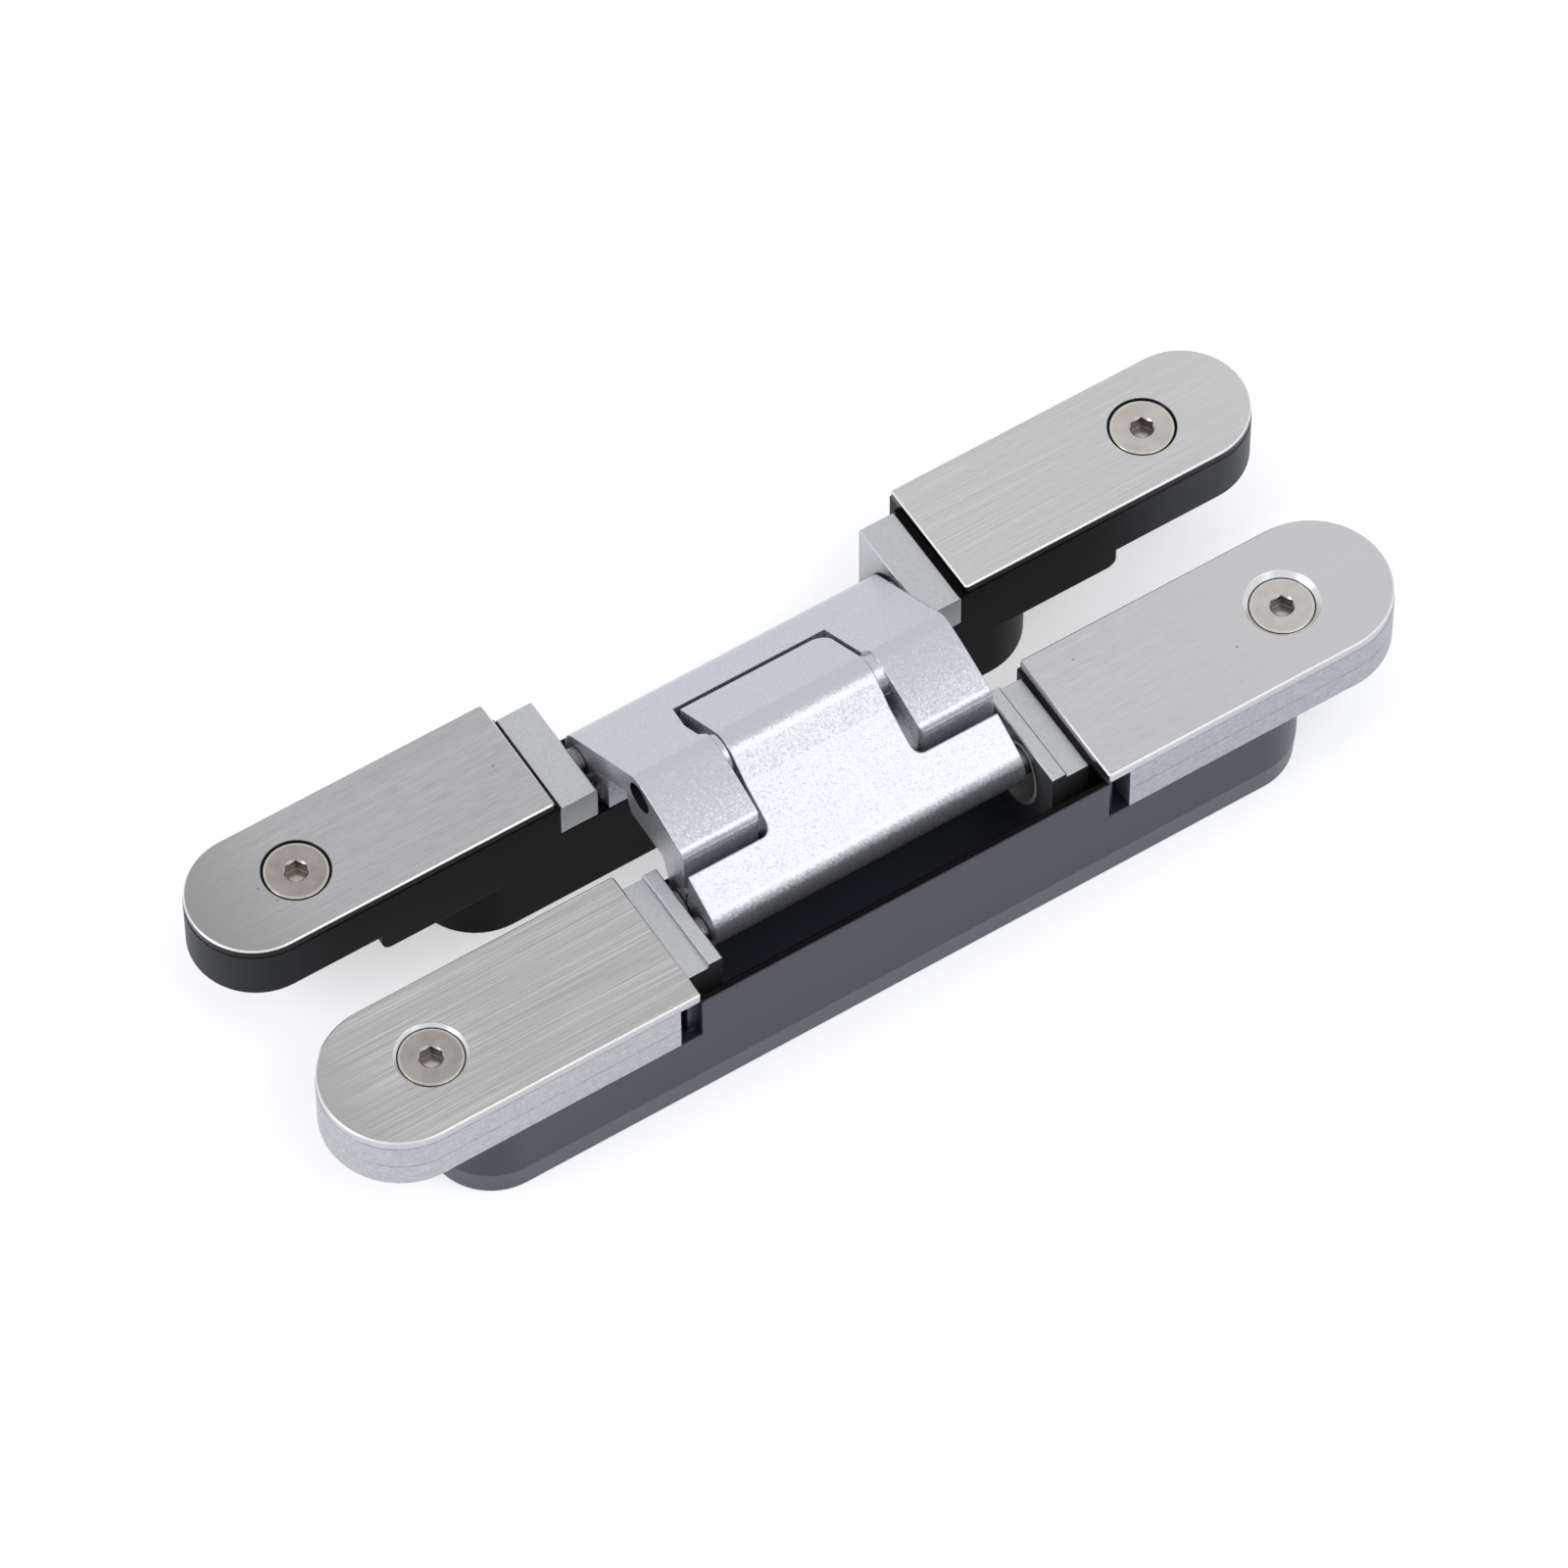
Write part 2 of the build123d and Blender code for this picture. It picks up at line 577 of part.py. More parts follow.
# front arm: two lobes over the knee, a plate down to the slotted tail, a barrel below
barrel_front = front_pivot[0] - barrel_radius
barrel_back = front_pivot[0] + barrel_radius
lobe_middle = ((apex[0] + lobe_lip[0]) / 2, (apex[1] + lobe_lip[1]) / 2 + lobe_crown)
notch_front = gap_y + lobe_lip[0]
with BuildPart() as front_arm:
    with BuildSketch(Plane.YZ):
        with BuildLine():
            Polyline(
                at(*apex),
                at(*rear_tail_top),
                at(*rear_tail),
                at(lobe_root_y, rear_roof(lobe_root_y, plate)),
                *[at(*spot) for spot in lobe_belly],
                at(barrel_back, front_pivot[1] + barrel_radius - 0.5),
                at(barrel_back, front_pivot[1]),
                at(barrel_front, front_pivot[1]),
                at(barrel_front, front_pivot[1] + barrel_radius),
                at(lobe_lip[0], lobe_lip[1] - 10.0),
                at(*lobe_lip),
            )
            ThreePointArc(at(*lobe_lip), at(*lobe_middle), at(*apex))
        make_face()
        with Locations(at(*rear_tail)):
            Circle(tail_radius)
        with Locations(at(*front_pivot)):
            Circle(barrel_radius)
        with Locations(at(*rear_pivot)):
            Circle(barrel_radius + relief_play, mode=Mode.SUBTRACT)
        with Locations(at(*front_tail)):
            Circle(tail_radius + relief_play, mode=Mode.SUBTRACT)
    extrude(amount=arm_half, both=True)
    fillet(front_arm.edges().filter_by(Axis.X).sort_by(Axis.Z)[-1], ridge_radius)
    lip_edges = front_arm.edges().filter_by(Axis.X).filter_by_position(
        Axis.Y, notch_front - 0.01, notch_front + 0.01
    )
    fillet(lip_edges.sort_by(Axis.Z)[-1], lobe_lip_radius)
    # room for the other arm's tongue between the lobes, over the barrel
    with BuildSketch(Plane.XY.offset(face_z + front_pivot[1] - barrel_radius)):
        with BuildLine():
            Polyline(
                (-notch_left, gap_y + notch_edge),
                (-notch_bulge, gap_y + 7.5),
                (-notch_bulge, gap_y + 2.7),
                (-lobe_inner_left, gap_y + 1.8),
                (-lobe_inner_left, notch_front),
                (-lobe_inner_left - 2 * lobe_corner, notch_front),
                (-lobe_inner_left - 2 * lobe_corner, notch_front - plate),
                (lobe_inner_right + 2 * lobe_corner, notch_front - plate),
                (lobe_inner_right + 2 * lobe_corner, notch_front),
                (lobe_inner_right, notch_front),
                (lobe_inner_right, gap_y + 1.0),
                (notch_right, gap_y + 1.6),
                (notch_right, gap_y + notch_edge),
                close=True,
            )
        notch = make_face()
        front_corners = notch.vertices().filter_by_position(
            Axis.Y, notch_front - 0.01, notch_front + 0.01
        )
        fillet(front_corners.sort_by(Axis.X)[1:-1], lobe_corner)
    extrude(amount=apex[1] - front_pivot[1] + 2 * barrel_radius, mode=Mode.SUBTRACT)
    with BuildSketch(Plane.YZ):
        with Locations(at(*front_pivot)):
            Circle(barrel_radius)
        with Locations(at(*front_tail)):
            Circle(tail_radius + relief_play, mode=Mode.SUBTRACT)
    extrude(amount=arm_half, both=True)
    # bosses round the knee pin reach from the lobes to the tongue
    for lobe_x, tongue_x in ((-lobe_inner_left, -tongue_left), (lobe_inner_right, tongue_right)):
        way = 1 if lobe_x > 0 else -1
        with BuildSketch(Plane.YZ.offset(lobe_x)):
            with Locations(at(*knee)):
                Circle(boss_radius)
        extrude(amount=tongue_x - lobe_x + way * boss_play)
    with BuildSketch(Plane.YZ):
        with Locations(at(*knee), at(*front_pivot)):
            Circle(pin_radius + running)
        with Locations(at(*rear_tail)):
            Circle(slide_pin_radius + seated)
    extrude(amount=arm_half, both=True, mode=Mode.SUBTRACT)
    # the knee pin ends in a recess of each outer side
    for way in (-1, 1):
        with BuildSketch(Plane.YZ.offset(way * arm_half)):
            with Locations(at(*knee)):
                Circle(pin_recess_radius)
        extrude(amount=-way * pin_recess, mode=Mode.SUBTRACT)
front_arm.part.label = "front_arm"
export_step(front_arm.part, "parts/front_arm.step")

# rear arm: wide tail in the front body, tongue under the knee, full-width block below
with BuildPart() as rear_arm:
    with BuildSketch(Plane.YZ.offset(-tongue_left)):
        with BuildLine():
            Polyline(
                at(tongue_ridge_y, rear_roof(tongue_ridge_y)),
                at(tongue_edge, rear_roof(tongue_edge)),
                at(tongue_edge, tongue_root),
                at(block_front, tongue_root),
                at(block_front, -3.0),
                *[at(*spot) for spot in tongue_belly],
                at(*front_tail),
                at(*front_tail_top),
                at(*shoulder),
                close=True,
            )
        make_face()
        with Locations(at(*front_tail)):
            Circle(tail_radius)
    extrude(amount=tongue_left + tongue_right)
    fillet(rear_arm.edges().filter_by(Axis.X).sort_by(Axis.Z)[-1], tongue_ridge_radius)
    tongue_corners = rear_arm.edges().filter_by(Axis.Z).filter_by_position(
        Axis.Y, gap_y + tongue_edge - 0.01, gap_y + tongue_edge + 0.01
    )
    fillet(tongue_corners.sort_by(Axis.X)[-1], notch_corner)
    with BuildSketch(Plane.YZ):
        with BuildLine():
            Polyline(
                at(wide_start, front_roof(wide_start)),
                at(*front_tail_top),
                at(*front_tail),
                at(wide_start, front_roof(wide_start, plate)),
                close=True,
            )
        make_face()
        with Locations(at(*front_tail)):
            Circle(tail_radius)
        with Locations(at(*front_slide)):
            Circle(slide_boss_radius)
    extrude(amount=arm_half, both=True)
    wide_corners = rear_arm.edges().filter_by(Axis.Z).filter_by_position(
        Axis.Y, gap_y + wide_start - 0.01, gap_y + wide_start + 0.01
    )
    fillet(wide_corners.sort_by(Axis.X)[1:-1], wide_inner_corner)
    with BuildSketch(Plane.YZ):
        with BuildLine():
            Polyline(
                at(block_front, rear_roof(block_front, plate + block_top_gap)),
                at(block_back, rear_roof(block_back, plate + block_top_gap)),
                at(block_back + 2.0, block_bottom - 0.6),
                at(rear_pivot[0] + barrel_radius, rear_pivot[1]),
                at(rear_pivot[0] - barrel_radius, rear_pivot[1]),
                at(rear_pivot[0] - barrel_radius, block_bottom),
                at(block_front, block_bottom),
                close=True,
            )
        make_face()
        with Locations(at(*rear_tail)):
            Circle(tail_radius + relief_play, mode=Mode.SUBTRACT)
        with Locations(at(*rear_pivot)):
            Circle(barrel_radius)
    extrude(amount=block_half, both=True)
    with BuildSketch(Plane.YZ):
        with Locations(at(*knee), at(*rear_pivot)):
            Circle(pin_radius + running)
        with Locations(at(*front_slide)):
            Circle(slide_pin_radius + seated)
    extrude(amount=arm_half, both=True, mode=Mode.SUBTRACT)
rear_arm.part.label = "rear_arm"
export_step(rear_arm.part, "parts/rear_arm.step")

# pins along X
for name, spot, radius, half_length in (
    ("knee_pin", knee, pin_radius, knee_pin_half),
    ("front_pivot_pin", front_pivot, pin_radius, pin_end),
    ("rear_pivot_pin", rear_pivot, pin_radius, pin_end),
    ("front_slide_pin", front_slide, slide_pin_radius, pin_end),
    ("rear_slide_pin", rear_tail, slide_pin_radius, pin_end),
):
    with BuildPart() as pin:
        with BuildSketch(Plane.YZ):
            with Locations(at(*spot)):
                Circle(radius)
        extrude(amount=half_length, both=True)
        chamfer(pin.edges().filter_by(GeomType.CIRCLE), pin_chamfer)
    pin.part.label = name
    export_step(pin.part, "parts/" + name + ".step")

# rollers on the slide pins and washers on the pivot pins
for body, slide, pivot in (("front", front_slide, front_pivot), ("rear", rear_tail, rear_pivot)):
    for side, way in (("left", -1), ("right", 1)):
        with BuildPart() as roller:
            with BuildSketch(Plane.YZ.offset(way * washer_inner)):
                with Locations(at(*slide)):
                    Circle(roller_radius)
            extrude(amount=way * (pin_end - washer_inner))
            chamfer(roller.faces().sort_by(Axis.X)[-1 if way > 0 else 0].edges(), roller_chamfer)
            with BuildSketch(Plane.YZ):
                with Locations(at(*slide)):
                    Circle(slide_pin_radius + running)
            extrude(amount=way * body_length / 2, mode=Mode.SUBTRACT)
        roller.part.label = body + "_roller_" + side
        export_step(roller.part, "parts/" + body + "_roller_" + side + ".step")

        with BuildPart() as washer:
            with BuildSketch(Plane.YZ.offset(way * washer_inner)):
                with Locations(at(*pivot)):
                    Circle(washer_radius)
                    Circle(pin_radius + running, mode=Mode.SUBTRACT)
            extrude(amount=way * (washer_outer - washer_inner))
        washer.part.label = body + "_washer_" + side
        export_step(washer.part, "parts/" + body + "_washer_" + side + ".step")

# clamp screws that hold the end blocks on the ledge, as one group
with BuildPart() as clamp_screws:
    with BuildSketch(Plane.XY.offset(cover_under - clamp_sink)):
        with Locations((-clamp_x, front_y), (clamp_x, front_y)):
            Circle(clamp_head_radius)
    extrude(amount=clamp_sink - clamp_head_height)
    with BuildSketch(Plane.XY.offset(cover_under - clamp_head_height)):
        with Locations((-clamp_x, front_y), (clamp_x, front_y)):
            Circle(clamp_shank_radius)
    extrude(amount=-clamp_length)
    with BuildSketch(Plane.XY.offset(cover_under)):
        with Locations((-clamp_x, front_y), (clamp_x, front_y)):
            RegularPolygon(hex_across / 2, 6, major_radius=False)
    extrude(amount=-hex_depth, mode=Mode.SUBTRACT)
clamp_screws.part.label = "clamp_screws"
export_step(clamp_screws.part, "parts/clamp_screws.step")

# screws that set the end blocks along the housing, as one group
with BuildPart() as height_adjusters:
    for way in (-1, 1):
        with BuildSketch(Plane.YZ.offset(way * wall_end)):
            with Locations((front_y, adjuster_z)):
                Circle(adjuster_radius)
        extrude(amount=way * (adjuster_length + block_start - wall_end - adjuster_play))
height_adjusters.part.label = "height_adjusters"
export_step(height_adjusters.part, "parts/height_adjusters.step")

# countersunk screws from the undersides into the cheeks, one group for each body
for body, middle_y, reach in (
    ("front", front_cheek_y, front_screw_reach),
    ("rear", rear_cheek_y, rear_screw_reach),
):
    with BuildPart() as cheek_screws:
        with BuildSketch(Plane.XY):
            with Locations((-cheek_mid_x, middle_y), (cheek_mid_x, middle_y)):
                Circle(cheek_screw_head)
        extrude(amount=floor_thickness, taper=cheek_screw_taper)
        with BuildSketch(Plane.XY):
            with Locations((-cheek_mid_x, middle_y), (cheek_mid_x, middle_y)):
                Circle(cheek_screw_radius)
        extrude(amount=floor_thickness + reach - 0.4)
        with BuildSketch(Plane.XY):
            with Locations((-cheek_mid_x, middle_y), (cheek_mid_x, middle_y)):
                RegularPolygon(cheek_screw_hex / 2, 6, major_radius=False)
        extrude(amount=cheek_screw_hex / 2, mode=Mode.SUBTRACT)
    cheek_screws.part.label = body + "_cheek_screws"
    export_step(cheek_screws.part, "parts/" + body + "_cheek_screws.step")
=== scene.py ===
import json

import bpy
import numpy as np
from mathutils import Matrix

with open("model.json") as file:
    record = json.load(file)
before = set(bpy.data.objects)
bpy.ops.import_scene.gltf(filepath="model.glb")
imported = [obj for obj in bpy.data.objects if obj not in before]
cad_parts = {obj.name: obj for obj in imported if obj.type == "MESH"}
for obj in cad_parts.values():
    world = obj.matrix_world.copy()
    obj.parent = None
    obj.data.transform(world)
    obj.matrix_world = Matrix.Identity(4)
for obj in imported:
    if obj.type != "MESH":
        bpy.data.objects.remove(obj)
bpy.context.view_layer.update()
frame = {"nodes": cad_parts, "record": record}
nodes = frame["nodes"]
print("hinge loaded,", len(nodes), "nodes")


def fromHex(code):  # sRGB hex to linear, with alpha 1
    parts = [int(code[i:i + 2], 16) / 255 for i in (1, 3, 5)]
    return tuple(v / 12.92 if v <= 0.04045 else ((v + 0.055) / 1.055) ** 2.4 for v in parts) + (1.0,)


def addNode(tree, kind, settings=None, links=None):
    # settings: sockets by name or number, "stops" for a ramp, anything else is a property of the node;
    # links: socket -> output
    node = tree.nodes.new(kind)
    for key, value in (settings or {}).items():
        if key == "stops":  # pairs of place and tone, an sRGB hex or a grey from 0 to 1
            elements = node.color_ramp.elements
            while len(elements) < len(value):
                elements.new(0.5)
            for element, (place, tone) in zip(elements, value):
                element.position = place
                element.color = fromHex(tone) if isinstance(tone, str) else (tone, tone, tone, 1.0)
        elif isinstance(key, int) or key in node.inputs:
            node.inputs[key].default_value = value
        else:
            setattr(node, key, value)
    for key, source in (links or {}).items():
        tree.links.new(source, node.inputs[key])
    return node


def newMaterial(name, shaderSettings):
    material = bpy.data.materials.new(name)
    material.use_nodes = True
    tree = material.node_tree
    tree.nodes.clear()
    shader = addNode(tree, "ShaderNodeBsdfPrincipled", shaderSettings)
    addNode(tree, "ShaderNodeOutputMaterial", {}, {"Surface": shader.outputs[0]})
    place = addNode(tree, "ShaderNodeTexCoord").outputs["Object"]
    return material, tree, shader, place


def pattern(tree, place, grain, centre=(0, 0, 0)):
    # noise; grain is its width in metres, its length along the hinge in widths, detail and roughness
    width, length, detail, roughness = grain
    mapped = addNode(
        tree,
        "ShaderNodeMapping",
        {"Scale": tuple(1 / (width * s) for s in (length, 1, 1)), "Location": centre},
        {"Vector": place},
    )
    return addNode(
        tree,
        "ShaderNodeTexNoise",
        {"Scale": 1.0, "Detail": detail, "Roughness": roughness},
        {"Vector": mapped.outputs[0]},
    ).outputs["Fac"]


edgeSamples = 6  # rays per point that round the shading over a sharp edge


def finishSurface(tree, shader, look, colour, rough, relief, polish=None):
    # look["roughness"] is spread over rough, less polish; look["bump"] is the relief's height in
    # metres and its strength; look["edgeRadius"] rounds the shading over sharp edges
    smoothest, roughest = look["roughness"]
    roughness = addNode(
        tree, "ShaderNodeMapRange", {"To Min": smoothest, "To Max": roughest}, {"Value": rough}
    ).outputs[0]
    if polish is not None:
        roughness = addNode(
            tree, "ShaderNodeMath", {"operation": "SUBTRACT"}, {0: roughness, 1: polish}
        ).outputs[0]
    height, strength = look["bump"]
    rounded = addNode(tree, "ShaderNodeBevel", {"Radius": look["edgeRadius"], "samples": edgeSamples})
    bump = addNode(
        tree,
        "ShaderNodeBump",
        {"Distance": height, "Strength": strength},
        {"Height": relief, "Normal": rounded.outputs[0]},
    )
    tree.links.new(colour, shader.inputs["Base Color"])
    tree.links.new(roughness, shader.inputs["Roughness"])
    tree.links.new(bump.outputs[0], shader.inputs["Normal"])


# stainless steel sheet, brushed lengthwise: fine streaks that break up the light along the plate,
# and a cut edge that shines as a thin line, helped by a painted highlight
coverLook = {
    "shader": {"Metallic": 1.0, "Anisotropic": 0.4},
    # real scratches are about 0.1 mm wide, and these are drawn twice as coarse to show
    "scratch": (0.00022, 170, 2.0, 0.6),  # 37 mm long
    "stroke": (0.00026, 14, 2.0, 0.6),  # 3.6 mm long
    "line": (0.00024, 150, 1.0, 0.5),  # a few stronger ones, 36 mm long
    "band": (0.0016, 40, 3.0, 0.5),  # uneven wear of the belt, 1.6 mm wide
    "bandShare": 0.12,  # of the bands in the grain
    "toneStops": (0.36, 0.5, 0.64),  # where in the grain the three tones of a plate lie
    "lineStops": (0.6, 0.7),
    "lineColour": "#e2e2e3",
    "paintedEndShare": 0.8,  # of the painted end shading at the plate's outer end
    "plateTop": 0.0312,
    "pitEdge": (0.00011, 0.00033),  # where a pit starts to fade, from its middle, and where it ends
    "pitShare": 0.8,
    "pitColour": "#6f6d6c",
    "edgeLean": (0.7, 0.2),  # upward part of the cut edge's normal, and how far it may be off
    "sideLean": 0.4,  # a face whose normal points up less than this is a side
    "edgeHighlightColour": "#e2e2e3",
    "edgePolish": 0.06,  # taken off the roughness on the cut edge
    "sinkRadius": 0.0078,
    "sinkHighlightColour": "#d5d6d8",
    "gapBlur": 0.00008,
    "gapShadowColour": "#161616",
    "sideStops": (0.3, 0.7),
    "roughness": (0.27, 0.37),
    "bump": (0.00001, 0.25),
    "edgeRadius": 0.0002,
    # lines is the share of the stronger scratches, short that of the strokes, side the tones of the
    # plate's sides, and the painted end shade and light: where the tone drifts from and to, and what
    # it becomes
    # the tones are darker on the left plates as painted shade and lighter on the right plates as
    # painted light
    "plates": {
        "front_cover_left": {
            "screw": (-0.09, -0.022),
            "gap": 0.0062,
            "tones": ("#a6a6a7", "#b2b2b3", "#c8c8c9"),
            "lines": 0.42,
            "short": 0.2,
            "side": ("#b4b5b8", "#c4c5c8"),
            "ends": (-0.112, -0.098, "#a9a9aa"),
            "pits": (),
        },
        "front_cover_right": {
            "screw": (0.09, -0.022),
            "gap": 0.0062,
            "tones": ("#b9b9bb", "#c1c1c3", "#c9c9cb"),
            "lines": 0.06,
            "short": 0.6,
            "side": ("#b4b5b8", "#c4c5c8"),
            "ends": (0.05, 0.1, "#c6c6c8"),
            "pits": ((0.07776, -0.02561), (0.05138, -0.01211)),
        },
        "rear_cover_left": {
            "screw": (-0.09, 0.02415),
            "gap": 0.00648,
            "tones": ("#a6a6a8", "#b0b0b2", "#b9b9bb"),
            "lines": 0.08,
            "short": 0.6,
            "side": ("#141416", "#1c1c1e"),
            "ends": (-0.112, -0.085, "#939293"),
            "pits": ((-0.04883, 0.02426), (-0.09779, 0.0244), (-0.09613, 0.02039)),
        },
        "rear_cover_right": {
            "screw": (0.09, 0.02415),
            "gap": 0.00648,
            "tones": ("#b9b9ba", "#c3c3c5", "#cecece"),
            "lines": 0.3,
            "short": 0.35,
            "side": ("#141416", "#1c1c1e"),
            "ends": (0.08, 0.11, "#c6c6c8"),
            "pits": (),
        },
    },
}


def brushedStainless(name, plate, seed):
    material, tree, shader, place = newMaterial(name, coverLook["shader"])
    # long scratches and short strokes over uneven bands, moved by seed to differ from plate to plate
    fine = pattern(tree, place, coverLook["scratch"], (seed, seed, 0))
    short = pattern(tree, place, coverLook["stroke"], (0, seed, seed))
    broad = pattern(tree, place, coverLook["band"], (seed, 0, seed))
    brushed = addNode(
        tree, "ShaderNodeMix", {"data_type": "RGBA", 0: plate["short"]}, {6: fine, 7: short}
    ).outputs[2]
    grain = addNode(
        tree, "ShaderNodeMix", {"data_type": "RGBA", 0: coverLook["bandShare"]}, {6: brushed, 7: broad}
    ).outputs[2]
    colour = addNode(
        tree,
        "ShaderNodeValToRGB",
        {"stops": tuple(zip(coverLook["toneStops"], plate["tones"]))},
        {"Fac": grain},
    ).outputs["Color"]
    # a few stronger scratches stand out light
    strong = pattern(tree, place, coverLook["line"], (seed, 5, seed))  # 5 sets them apart from fine
    lines = addNode(
        tree,
        "ShaderNodeValToRGB",
        {"stops": tuple(zip(coverLook["lineStops"], (0.0, 1.0)))},
        {"Fac": strong},
    ).outputs["Color"]
    strength = addNode(
        tree, "ShaderNodeMix", {"data_type": "RGBA", 0: plate["lines"], 6: (0, 0, 0, 1)}, {7: lines}
    ).outputs[2]
    colour = addNode(
        tree,
        "ShaderNodeMix",
        {"data_type": "RGBA", 7: fromHex(coverLook["lineColour"])},
        {0: strength, 6: colour},
    ).outputs[2]
    # painted shade and light: the tone drifts towards the plate's outer end, darker on the left plates
    # and lighter on the right
    along = addNode(tree, "ShaderNodeSeparateXYZ", {}, {0: place}).outputs[0]
    start, end, paintedEndTone = plate["ends"]
    paintedEndFade = addNode(
        tree,
        "ShaderNodeMapRange",
        {"From Min": start, "From Max": end, "interpolation_type": "SMOOTHSTEP"},
        {"Value": along},
    ).outputs[0]
    if start < 0:
        paintedEndFade = addNode(
            tree, "ShaderNodeMath", {"operation": "SUBTRACT", 0: 1.0}, {1: paintedEndFade}
        ).outputs[0]
    paintedEndColour = addNode(
        tree,
        "ShaderNodeMix",
        {
            "data_type": "RGBA",
            "blend_type": "DARKEN" if start < 0 else "LIGHTEN",
            0: 1.0,
            7: fromHex(paintedEndTone),
        },
        {6: colour},
    ).outputs[2]
    paintedEndColour = addNode(
        tree, "ShaderNodeMix", {"data_type": "RGBA", 0: coverLook["paintedEndShare"]}, {6: colour, 7: paintedEndColour}
    ).outputs[2]
    colour = addNode(
        tree, "ShaderNodeMix", {"data_type": "RGBA"}, {0: paintedEndFade, 6: colour, 7: paintedEndColour}
    ).outputs[2]
    # small dark pits where the sheet was struck
    fadeStart, fadeEnd = coverLook["pitEdge"]
    for pit in plate["pits"]:
        away = addNode(
            tree,
            "ShaderNodeVectorMath",
            {"operation": "DISTANCE", 1: pit + (coverLook["plateTop"],)},
            {0: place},
        ).outputs["Value"]
        inside = addNode(
            tree,
            "ShaderNodeMapRange",
            {
                "From Min": fadeStart,
                "From Max": fadeEnd,
                "To Min": coverLook["pitShare"],
                "To Max": 0.0,
            },
            {"Value": away},
        ).outputs[0]
        colour = addNode(
            tree,
            "ShaderNodeMix",
            {"data_type": "RGBA", 7: fromHex(coverLook["pitColour"])},
            {0: inside, 6: colour},
        ).outputs[2]
    # the cut edge leans at 45 degrees and is polished, and its lighter colour is a painted highlight;
    # the sides take their own tones, near black on the rear plates
    facing = addNode(
        tree,
        "ShaderNodeSeparateXYZ",
        {},
        {0: addNode(tree, "ShaderNodeNewGeometry").outputs["True Normal"]},
    ).outputs[2]
    lean, margin = coverLook["edgeLean"]
    edge = addNode(
        tree, "ShaderNodeMath", {"operation": "COMPARE", 1: lean, 2: margin}, {0: facing}
    ).outputs[0]
    side = addNode(
        tree, "ShaderNodeMath", {"operation": "LESS_THAN", 1: coverLook["sideLean"]}, {0: facing}
    ).outputs[0]
    colour = addNode(
        tree,
        "ShaderNodeMix",
        {"data_type": "RGBA", 7: fromHex(coverLook["edgeHighlightColour"])},
        {0: edge, 6: colour},
    ).outputs[2]
    # the countersink is turned and painted bright as a highlight, and painted black as shadow where it
    # closes round the screw
    flat = addNode(
        tree, "ShaderNodeVectorMath", {"operation": "MULTIPLY", 1: (1, 1, 0)}, {0: place}
    ).outputs[0]
    fromScrew = addNode(
        tree, "ShaderNodeVectorMath", {"operation": "DISTANCE", 1: plate["screw"] + (0.0,)}, {0: flat}
    ).outputs["Value"]
    near = addNode(
        tree, "ShaderNodeMath", {"operation": "LESS_THAN", 1: coverLook["sinkRadius"]}, {0: fromScrew}
    ).outputs[0]
    sink = addNode(tree, "ShaderNodeMath", {"operation": "MULTIPLY"}, {0: near, 1: edge}).outputs[0]
    gap = addNode(
        tree,
        "ShaderNodeMapRange",
        {
            "From Min": plate["gap"] - coverLook["gapBlur"],
            "From Max": plate["gap"] + coverLook["gapBlur"],
            "To Min": 1.0,
            "To Max": 0.0,
        },
        {"Value": fromScrew},
    ).outputs[0]
    sideColour = addNode(
        tree,
        "ShaderNodeValToRGB",
        {"stops": tuple(zip(coverLook["sideStops"], plate["side"]))},
        {"Fac": broad},
    ).outputs["Color"]
    colour = addNode(
        tree,
        "ShaderNodeMix",
        {"data_type": "RGBA", 7: fromHex(coverLook["sinkHighlightColour"])},
        {0: sink, 6: colour},
    ).outputs[2]
    colour = addNode(
        tree,
        "ShaderNodeMix",
        {"data_type": "RGBA", 7: fromHex(coverLook["gapShadowColour"])},
        {0: gap, 6: colour},
    ).outputs[2]
    colour = addNode(
        tree, "ShaderNodeMix", {"data_type": "RGBA"}, {0: side, 6: colour, 7: sideColour}
    ).outputs[2]
    polish = addNode(
        tree, "ShaderNodeMath", {"operation": "MULTIPLY", 1: coverLook["edgePolish"]}, {0: edge}
    ).outputs[0]
    finishSurface(tree, shader, coverLook, colour, grain, fine, polish)
    return material


# zinc die casting with a sprayed metallic coat: even pale silver, with flakes that glint where the
# light slopes over it
silverLook = {
    "shader": {"Metallic": 0.72},
    "grain": (0.0003, 1, 2.0, 0.6),  # the coat's grit, 0.3 mm
    "toneStops": (0.3, 0.5, 0.7),
    "tones": ("#bfc1c8", "#c3c5cc", "#c7c9cf"),
    "flake": 0.00024,  # real flakes are under 0.1 mm; drawn about three times as coarse to show
    "flakeTilt": 0.14,
    "recess": (0.0, 0.00045, 0.0381),  # the knee pin's axis
    "recessRadius": 0.00313,
    "recessDepth": 0.0305,  # x beyond which it lies on both sides
    "recessShadeColour": "#3c3d40",
    "roughness": (0.25, 0.31),
    "edgeRadius": 0.0004,
}


